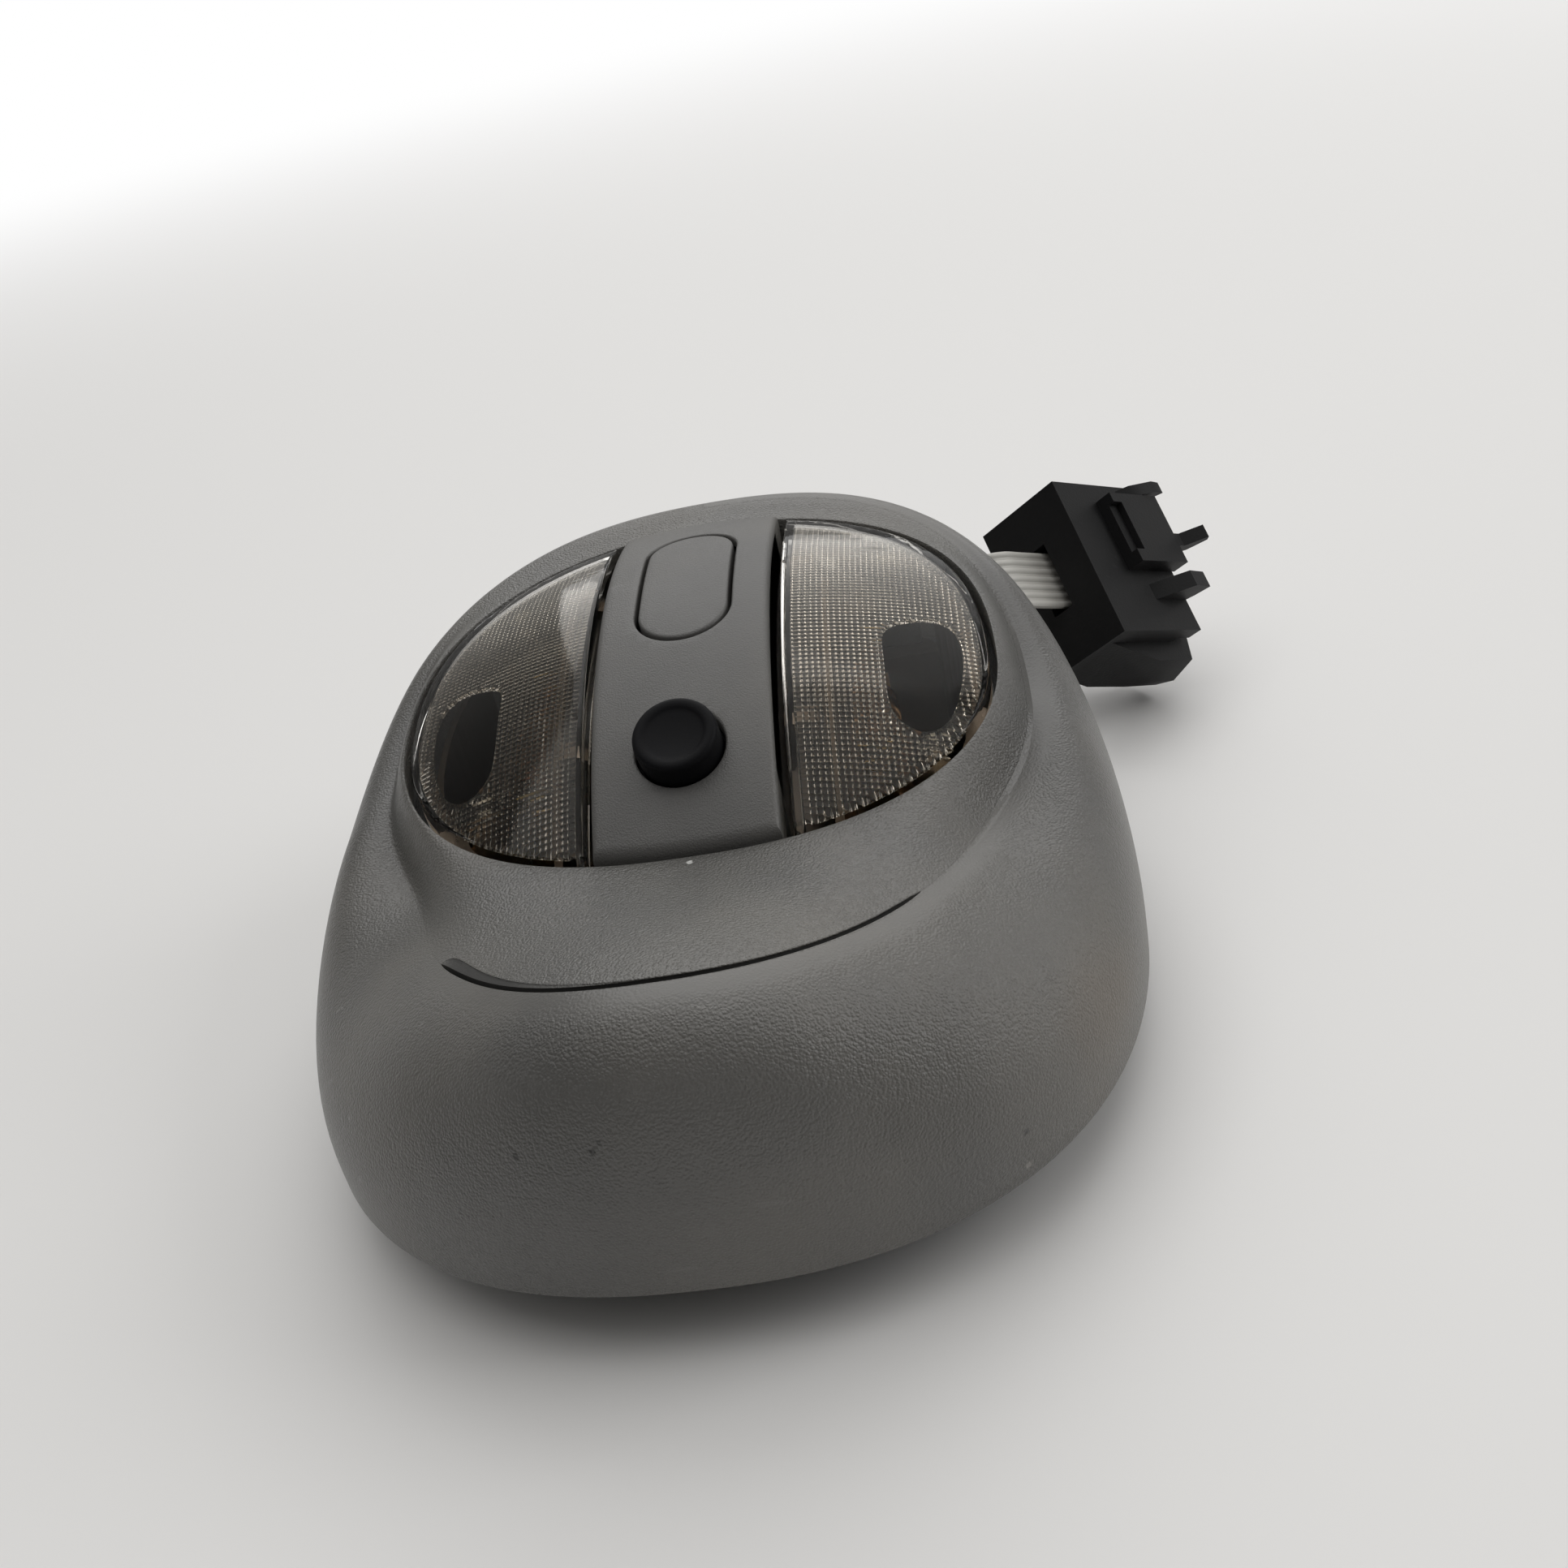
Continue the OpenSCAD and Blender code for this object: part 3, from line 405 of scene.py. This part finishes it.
def housing_ring(a):
    """The housing's closed section at angle a, from the foot of its collar outwards over the skin and back inside."""
    o, r = opening(a), oval(a, 71.5, 85, 85, RIM_M)
    reach = (r - o).length
    u = (r - o) / reach
    lens_z = dome(o[0], o[1])
    v, vz = reach * key(SHARE, a), DOME_TOP - key(DROP, a)
    rim_z = 11 + (2.4 * cos(radians(a)) ** 2 if cos(radians(a)) < 0 else 0)
    wide = rim_z + 3
    s = abs(a - 180) / 34
    e = sqrt(1 - s ** 20) if s < 1 else 0.0
    share = min(s, 1) ** 1.5
    q = v - (1.3 * share if a < 180 else 0)
    w = e * (1 + (2.8 * share if a > 180 else 0))
    g = 1.0 * e
    r = w - g

    def lip(d):
        t = max(d, 0) / v
        return lens_z + (vz - lens_z) * t * t * (3 - 2 * t)

    def arch(t):
        p = 2 / 2.34
        return v + (reach - v) * max(sin(pi / 2 * t), 0) ** p, wide + (vz - wide) * max(cos(pi / 2 * t), 0) ** p
    d0 = min(0.6, v * 0.1)
    points = [(0, lens_z - 5), (0, lens_z - 0.6), (0.06, lens_z - 0.3), (0.2, lens_z - 0.1), (d0, lip(d0))]
    stop = q - w - 0.6
    points += [(d, lip(d)) for d in [d0 + (stop - d0) * i / 14 for i in range(1, 15)]]
    flat = [q - 0.55, q - 0.5, q - 0.45, q - 0.4, q - 0.35, q - 0.3, q - 0.25, q - 0.2, q - 0.15, q - 0.1, q - 0.05, q]
    top, edge_z = lip(q - w), lip(q)
    cut = [(q - w - 0.25, lip(q - w - 0.25)), (q - w - 0.08, top - 0.03), (q - w, top - 0.1),
           (q - g - 0.66 * r, lip(q - g - 0.66 * r) - 0.14), (q - g - 0.33 * r, lip(q - g - 0.33 * r) - 0.16),
           (q - g, lip(q - g) - 0.18), (q - g + 0.05, lip(q - g) - 0.4), (q - g + 0.05, edge_z - 5.8), (q - 0.05, edge_z - 5.8),
           (q, edge_z - 0.3), (q + 0.08, edge_z - 0.09), (q + 0.25, edge_z - 0.02)]
    points += [(f + (c[0] - f) * e, lip(min(f, v)) + (c[1] - lip(min(f, v))) * e) for f, c in zip(flat, cut)]
    points += [((q + 0.25 + v + 0.4) / 2, lip(min((q + 0.25 + v + 0.4) / 2, v))), (v + 0.4, vz)]
    t0 = 0.03
    points += [arch(t0 + (1 - t0) * i / 26) for i in range(27)]
    points += [(reach, rim_z + 0.5), (reach - 0.12, rim_z + 0.12), (reach - 0.5, rim_z), (reach - 1.9, rim_z), (reach - 2.4, rim_z + 0.4)]
    for i in range(12, 0, -1):
        t = i / 12
        p, before, after = arch(t), arch(max(t - 0.02, 0)), arch(min(t + 0.02, 1))
        n = Vector((after[0] - before[0], after[1] - before[1])).normalized()
        points.append((p[0] + 2.4 * n[1], p[1] - 2.4 * n[0]))
    points += [(q + 1.6 * e, vz - 2.4 - 5 * e), (q - g - 1.6 * e, vz - 2.4 - 5 * e), (q - w - 1.6 * e - 0.2, vz - 2.6 - 1.5 * e),
               (2.4, min(lens_z, vz) - 2.9),
               (2.4, min(lens_z, vz + 2) - 5)]
    first = 19 + 2

    def mark(i, d):
        """Painted shade, 0 to 1 on the slot floor and in its gap; the smooth band along the valley down to -0.75, less
        beyond the slot's left end.
        """
        band = -0.75 * (1 - min(max((s - 1) * 4, 0), 0.7)) if a > 180 else -0.75
        if first <= i <= first + 3:
            return 0.9 * e * min(r, 1)
        if first + 3 < i <= first + 6:
            return e
        if 4 < i <= first + 9:
            return band * (1 - e) * min(max(1 - (v - d) / 3.5, 0), 1)
        return band * min(max((v + 6 - d) / 3, 0), 1) if first + 9 < i < first + 30 else 0.0
    return [(o[0] + u[0] * d, o[1] + u[1] * d, z, mark(i, d)) for i, (d, z) in enumerate(points)]


angles = []
a = 0.0
while a < 360:
    angles.append(a)
    near = min(abs(abs(a - 180) - 34), abs(abs(a - 180) - 31))
    a += 0.2 if near < 3.2 else 1.25
bm = bmesh.new()
# The recess layer holds the slot's painted shade and the smooth band along the valley.
bm.verts.layers.float.new("recess")
sweep(bm, [housing_ring(a) for a in angles] + [housing_ring(0)])
for x, y in ((41.6, 56.1), (41.6, -38.1), (-41.6, 56.1), (-41.6, -38.1)):
    made = bmesh.ops.create_cone(bm, cap_ends=True, segments=32, radius1=3.6 * MM, radius2=3.6 * MM, depth=10 * MM)
    bmesh.ops.translate(bm, verts=made["verts"], vec=Vector((x, y, 31)) * MM)
housing_grey = moulded("housing_grey", (0.1, 0.098, 0.093), rough=0.3, scale=2300, depth=0.15, amount=0.7, specular=0.6, recess=True, marks=(
    ((45, -19, 42), 16, (0.012, 0.011, 0.01), 1.0, True), ((62, -50, 24), 24, (0.17, 0.13, 0.09), 0.35, False),
    ((-20.2, -80, 36.7), 0.9, (0.03, 0.029, 0.027), 0.8, False), ((-9.1, -82.1, 37.7), 1.0, (0.03, 0.029, 0.027), 0.8, False),
    ((-8, -82, 39), 0.8, (0.03, 0.029, 0.027), 0.7, False), ((46.4, -69.7, 20.6), 0.9, (0.03, 0.029, 0.027), 0.7, False),
    ((46.1, -70.3, 15.1), 1.0, (0.25, 0.24, 0.22), 0.7, False), ((0.8, -27.6, 45.4), 0.9, (0.6, 0.6, 0.58), 0.9, False)))
housing = finish_mesh(bm, "housing_skin", housing_grey, "lamp", ["housing"])

# Lenses. Clear acrylic, domed outside, with a wall round the rim and a field of square prisms inside that
# stops short of the rim and of a plain window over the reading bulb. Each rocks on its pin.
WINDOW = ((34.4, 16), (38.3, 19), (43.5, 19.8), (46.5, 17), (47.2, 10.6), (46, 3.2), (43.5, -2.8), (39.8, -5.4),
          (36.3, -4.2), (34.3, -0.5), (34, 8.3))


def rounded(points, n):
    """A closed curve through the points, with n steps between two of them."""
    result = []
    for i in range(len(points)):
        p0, p1, p2, p3 = [Vector(points[(i + k) % len(points)]) for k in (-1, 0, 1, 2)]
        for k in range(n):
            t = k / n
            result.append(p1 + t * (p2 - p0 + t * (2 * p0 - 5 * p1 + 4 * p2 - p3 + t * (3 * (p1 - p2) + p3 - p0))) / 2)
    return result


def nearest(p, outlines):
    """The point of the outlines that lies nearest to p."""
    best = None
    for outline in outlines:
        for i, b in enumerate(outline):
            a, b = Vector(outline[i - 1]), Vector(b)
            t = min(max((p - a).dot(b - a) / (b - a).length_squared, 0), 1)
            q = a + t * (b - a)
            if best is None or (q - p).length < (best - p).length:
                best = q
    return best


def inside(p, outline):
    hit = False
    for i, b in enumerate(outline):
        c = outline[i - 1]
        if (b[1] > p[1]) != (c[1] > p[1]) and p[0] < (c[0] - b[0]) * (p[1] - b[1]) / (c[1] - b[1]) + b[0]:
            hit = not hit
    return hit


def lens_outline(gap, side):
    """The D-shaped outline: the opening's edge, cut off beside the centre panel."""
    points = [opening(a, gap) for a in [i * 2.0 for i in range(91)]]
    points = [p for p in points if p[0] > side]
    low = min(p[1] for p in points)
    high = max(p[1] for p in points)
    back = [(side, high + (low - high) * i / 40) for i in range(41)]
    return [tuple(p) for p in points][::-1] + back


def clear_plastic(name, tint, rough, ior=1.49):
    m = bpy.data.materials.new(name)
    m.use_nodes = True
    t = m.node_tree
    b = t.nodes["Principled BSDF"]
    b.inputs["Base Color"].default_value = (*tint, 1)
    b.inputs["Transmission Weight"].default_value = 1.0
    b.inputs["IOR"].default_value = ior
    w = t.nodes.new("ShaderNodeGroup")
    w.node_tree = wear
    w.inputs["Amount"].default_value = 1.0
    t.links.new(maths(t, "ADD", rough, maths(t, "MULTIPLY", w.outputs["Scratches"], 0.3)), b.inputs["Roughness"])
    bump = t.nodes.new("ShaderNodeBump")
    bump.inputs["Distance"].default_value = 0.01 * MM
    t.links.new(w.outputs["Scratches"], bump.inputs["Height"])
    t.links.new(bump.outputs["Normal"], b.inputs["Normal"])
    return m


lens_clear = clear_plastic("lens_clear", (0.91, 0.89, 0.85), 0.05, 1.2)
prism_clear = clear_plastic("prism_clear", (0.74, 0.7, 0.645), 0.05, 1.3)
for word, sign in (("right", 1), ("left", -1)):
    rim_line = lens_outline(1.3, 17.2)
    bm = plate([rim_line], [(0.45, 0), (0.2, 0.06), (0.06, 0.2), (0, 0.45), (0, 5.6), (0.2, 5.8), (1.2, 5.8), (1.4, 5.6), (1.4, 2.2)],
               dome, 2.5)
    bmesh.ops.scale(bm, vec=(sign, 1, 1), verts=bm.verts[:])
    finish_mesh(bm, "lens_skin_" + word, lens_clear, "lens_" + word, ["lens_" + word])
    field = lens_outline(2.85, 18.75)
    bm = bmesh.new()
    bmesh.ops.create_grid(bm, x_segments=40, y_segments=92, size=0.5 * MM)
    for v in bm.verts:
        v.co.x = (36 + v.co.x / MM * 40) * MM
        v.co.y = (17 + v.co.y / MM * 92) * MM
    window = rounded(WINDOW, 6)
    out_faces = [f for f in bm.faces if not inside(f.calc_center_median() / MM, field) or inside(f.calc_center_median() / MM, window)]
    bmesh.ops.delete(bm, geom=out_faces, context="FACES")
    for v in bm.verts:
        if v.is_boundary:
            v.co.x, v.co.y = nearest(Vector((v.co.x, v.co.y)) / MM, (field, window)) * MM
    lower = bm.faces[:]
    made = bmesh.ops.extrude_face_region(bm, geom=lower, use_keep_orig=True)["geom"]
    bmesh.ops.translate(bm, verts=[g for g in made if isinstance(g, bmesh.types.BMVert)], vec=(0, 0, 0.4 * MM))
    bmesh.ops.recalc_face_normals(bm, faces=bm.faces[:])
    bmesh.ops.inset_individual(bm, faces=lower, thickness=0.15 * MM, depth=0.36 * MM)
    bmesh.ops.inset_individual(bm, faces=lower, thickness=0.15 * MM, depth=0.12 * MM)
    for v in bm.verts:
        v.co.z += (dome(v.co.x / MM, v.co.y / MM) - 2.75) * MM
    bmesh.ops.scale(bm, vec=(sign, 1, 1), verts=bm.verts[:])
    prisms = finish_mesh(bm, "lens_prisms_" + word, prism_clear, "lens_" + word, [])
    for p in prisms.data.polygons:
        p.use_smooth = False

# Centre panel. Spark-textured grey plastic strip between the lenses with a rounded front end, a round hole
# for the button and an oval hole for the blank. It stands on skirts and doesn't move.
BUTTON_TILT = radians(27.8)
button_at = Vector((0, DOME_Y - DOME_R * sin(BUTTON_TILT), DOME_TOP - DOME_R + DOME_R * cos(BUTTON_TILT)))
on_button = Matrix.Translation(button_at * MM) @ Matrix.Rotation(BUTTON_TILT, 4, "X")


def strip(w, gap, n):
    """The strip's outline, counter-clockwise; its ends follow the opening at the given gap."""
    def end(x, reach, m):
        return reach * (1 - (abs(x) / (53 - gap)) ** m) ** (1 / m)
    xs = [-w + 2 * w * i / 12 for i in range(13)]
    front = [(x, 12 - end(x, 37.5 - gap, 2.15)) for x in xs]
    rear = [(x, 12 + end(x, 51 - gap, 2.35)) for x in xs]
    low, high = front[0][1], rear[0][1]
    side = [low + (high - low) * i / n for i in range(1, n)]
    return front + [(w, y) for y in side] + rear[::-1] + [(-w, y) for y in side[::-1]]


def stadium(w, length, y):
    arc = [(w / 2 * cos(radians(i * 7.5)), w / 2 * sin(radians(i * 7.5))) for i in range(49)]
    h = (length - w) / 2
    return [(p[0], p[1] + y + h) for p in arc[:25]] + [(p[0], p[1] + y - h) for p in arc[24:48]] + [(arc[0][0], arc[0][1] + y - h)]


hole = [(7.65 * cos(radians(i * 6)), button_at[1] + 7.65 * cos(BUTTON_TILT) * sin(radians(i * 6))) for i in range(60)]
bm = plate([strip(15.4, 0.6, 30), hole, stadium(17.6, 39.4, 32.5)],
           [(1.2, 0), (0.74, 0.09), (0.35, 0.35), (0.09, 0.74), (0, 1.2), (0, 7.6), (1.8, 7.6), (1.8, 1.8)],
           lambda x, y: dome(x, y) + 0.9, 2.4, [(0.5, 0), (0.25, 0.06), (0.06, 0.25), (0, 0.5), (0, 1.8)])
for sign in (1, -1):
    leg = bmesh.ops.create_cube(bm, size=1.0)["verts"]
    bmesh.ops.scale(bm, vec=(1.8 * MM, 66 * MM, 13 * MM), verts=leg)
    bmesh.ops.translate(bm, vec=(sign * 14.5 * MM, 19 * MM, 44.5 * MM), verts=leg)
    for y in range(-10, 50, 4):
        parts = leg + list({e for v in leg for e in v.link_edges}) + list({f for v in leg for f in v.link_faces})
        made = bmesh.ops.bisect_plane(bm, geom=parts, plane_co=(0, y * MM, 0), plane_no=(0, 1, 0), dist=0.00001)["geom_cut"]
        leg += [g for g in made if isinstance(g, bmesh.types.BMVert)]
    for v in leg:
        if v.co.z > 45 * MM:
            v.co.z = (dome(v.co.x / MM, v.co.y / MM) - 0.4) * MM
panel_grey = moulded("panel_grey", (0.1, 0.098, 0.094), rough=0.42, scale=3200, depth=0.05, amount=0.7)
finish_mesh(bm, "panel_skin", panel_grey, "lamp", ["centre_panel"])

# Oval blank. The same grey plastic, set in its hole from behind with a hairline gap round it.
bm = plate([stadium(16.2, 38, 32.5)], [(0.5, 0), (0.25, 0.06), (0.06, 0.25), (0, 0.5), (0, 3.0)], lambda x, y: dome(x, y) + 0.9, 2.0)
finish_mesh(bm, "oval_skin", panel_grey, "lamp", ["oval_blank"])

# Push button. Satin black plastic turned cap with a hollowed top and a small rounded edge.
bm = bmesh.new()
R, TOP = 7.1, 5.0
section = [(0, TOP - 0.9)]
section += [(4.8 * i / 9, TOP - 0.9 + 0.5 * (i / 9) ** 2) for i in range(1, 10)]
section += [(5.0, TOP - 0.3), (5.25, TOP - 0.12), (5.7, TOP - 0.02), (6.1, TOP), (6.5, TOP - 0.08), (6.85, TOP - 0.3), (7.03, TOP - 0.62), (R, TOP - 1), (R, -2.2), (R + 1.1, -2.2), (R + 1.1, -3.5),
            (3, -3.5), (3, -14.2), (0, -14.2)]
verts = [bm.verts.new((x * MM, 0, z * MM)) for x, z in section]
edges = [bm.edges.new((verts[i], verts[i + 1])) for i in range(len(verts) - 1)]
bmesh.ops.spin(bm, geom=verts + edges, cent=(0, 0, 0), axis=(0, 0, 1), dvec=(0, 0, 0), angle=2 * pi, steps=96, use_merge=True)
bmesh.ops.transform(bm, matrix=on_button, verts=bm.verts[:])
knob_black = moulded("knob_black", (0.007, 0.007, 0.008), rough=0.5, scale=3000, depth=0.012, amount=0.8, dirt=(0.03, 0.028, 0.026), specular=0.08)
finish_mesh(bm, "button_skin", knob_black, "button", ["push_button"])

# Flat cable. Seven soft grey wires side by side, from the header in the tub round the rear corner up to the plug.
ROUTE = ((27, 48, 4.8), (31, 53.5, 4.8), (35, 59, 4.8), (39, 64.5, 4.8), (43, 70, 5), (46.5, 74.5, 7), (49, 77, 11.5), (50, 77.5, 18),
         (50, 76.5, 25), (50.5, 74.5, 32), (52.5, 73, 37.5), (56, 73, 39.8), (60.3, 75, 38.9), (64, 79, 36.4), (67.8, 82.9, 33.9),
         (70.6, 85.9, 32.1))
WIDTH_START, WIDTH_END = Vector((0.81, -0.59, 0)), Vector((0.26, -0.67, -0.7))
route = [Vector(p) for p in ROUTE]
wire_section = []
for side in (1, -1):
    for k in range(7):
        x = (3 - k) * 2 * side
        for q in (0.7, 0.35, 0, -0.35, -0.7):
            wire_section.append((x + q * side, side * 0.75 * sqrt(1 - (abs(q) / 0.98) ** 2) if abs(q) < 0.7 else side * 0.42))
rings = []
for i in range(len(route) * 4 - 3):
    k, f = divmod(i / 4, 1)
    k = int(k)
    p0, p1, p2, p3 = route[max(k - 1, 0)], route[k], route[min(k + 1, len(route) - 1)], route[min(k + 2, len(route) - 1)]
    at = p1 + f * (p2 - p0 + f * (2 * p0 - 5 * p1 + 4 * p2 - p3 + f * (3 * (p1 - p2) + p3 - p0))) / 2
    t = (p2 - p0 + f * 2 * (2 * p0 - 5 * p1 + 4 * p2 - p3) + 3 * f * f * (3 * (p1 - p2) + p3 - p0)).normalized()
    s = min(max((k + f - 4) / 8, 0), 1)
    w = WIDTH_START.lerp(WIDTH_END, s)
    w = (w - w.dot(t) * t).normalized()
    h = t.cross(w)
    rings.append([at + w * x + h * y for x, y in wire_section])
bm = bmesh.new()
first, last = sweep(bm, rings)
bmesh.ops.contextual_create(bm, geom=first)
bmesh.ops.contextual_create(bm, geom=last)
ribbon_grey = moulded("ribbon_grey", (0.46, 0.45, 0.42), rough=0.42, scale=1500, depth=0.01, amount=0.6)
ribbon = finish_mesh(bm, "ribbon_skin", ribbon_grey, "lamp", ["ribbon_cable"])

# Plug. The block and its latch tongues are black plastic with slightly broken edges, and brass sockets sit in its face.
plug_black = moulded("plug_black", (0.009, 0.009, 0.0095), rough=0.5, scale=1600, depth=0.02, amount=0.7, dirt=(0.03, 0.028, 0.026), specular=0.2)
bm = bmesh.new()
bm.from_mesh(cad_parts["plug_shell"].data)
bmesh.ops.remove_doubles(bm, verts=bm.verts[:], dist=0.000002)
bmesh.ops.dissolve_limit(bm, angle_limit=radians(2), use_dissolve_boundaries=False, verts=bm.verts[:], edges=bm.edges[:])
plug = finish_mesh(bm, "plug_skin", plug_black, "lamp", ["plug_shell"])
edge = plug.modifiers.new("broken_edges", "BEVEL")
edge.width = 0.25 * MM
edge.segments = 2
edge.limit_method = "ANGLE"
edge.angle_limit = radians(40)

# Hidden works: plated bowls, bulbs, switches, board and tub, all straight from the CAD with their own finishes.
plated = moulded("reflector_plating", (0.16, 0.13, 0.105), rough=0.3, scale=900, depth=0.01, amount=0.8, metallic=1.0)
steel = moulded("works_steel", (0.5, 0.5, 0.51), rough=0.3, scale=2500, depth=0.006, amount=0.6, metallic=1.0)
brass = moulded("works_brass", (0.62, 0.45, 0.17), rough=0.28, scale=2500, depth=0.006, amount=0.6, metallic=1.0)
black = moulded("works_black", (0.016, 0.016, 0.016), rough=0.5, scale=1400, depth=0.03, amount=0.6, dirt=(0.09, 0.085, 0.075))
cream = moulded("works_cream", (0.62, 0.58, 0.48), rough=0.4, scale=2200, depth=0.008, amount=0.5)
board = moulded("board_green", (0.012, 0.06, 0.022), rough=0.3, scale=3200, depth=0.006, amount=0.5)
bulb = clear_plastic("bulb_glass", (0.98, 0.93, 0.8), 0.03)
warm = clear_plastic("bulb_warm_glass", (0.95, 0.6, 0.33), 0.2)
finish = {"reflector": plated, "hinge_pin": black, "board_screws": steel, "body_screws": steel, "roof_clip": steel,
          "bulb_clips": brass, "plug_terminals": brass, "bulb_holder": black, "lens_switch": black, "cable_header": black,
          "lamp_body": black, "switch_body": cream, "lens_plunger": cream, "circuit_board": board, "reading_bulb": bulb,
          "courtesy_bulb": warm}
for name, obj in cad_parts.items():
    for start, material in finish.items():
        if name.startswith(start):
            for s in obj.material_slots:
                s.material = material
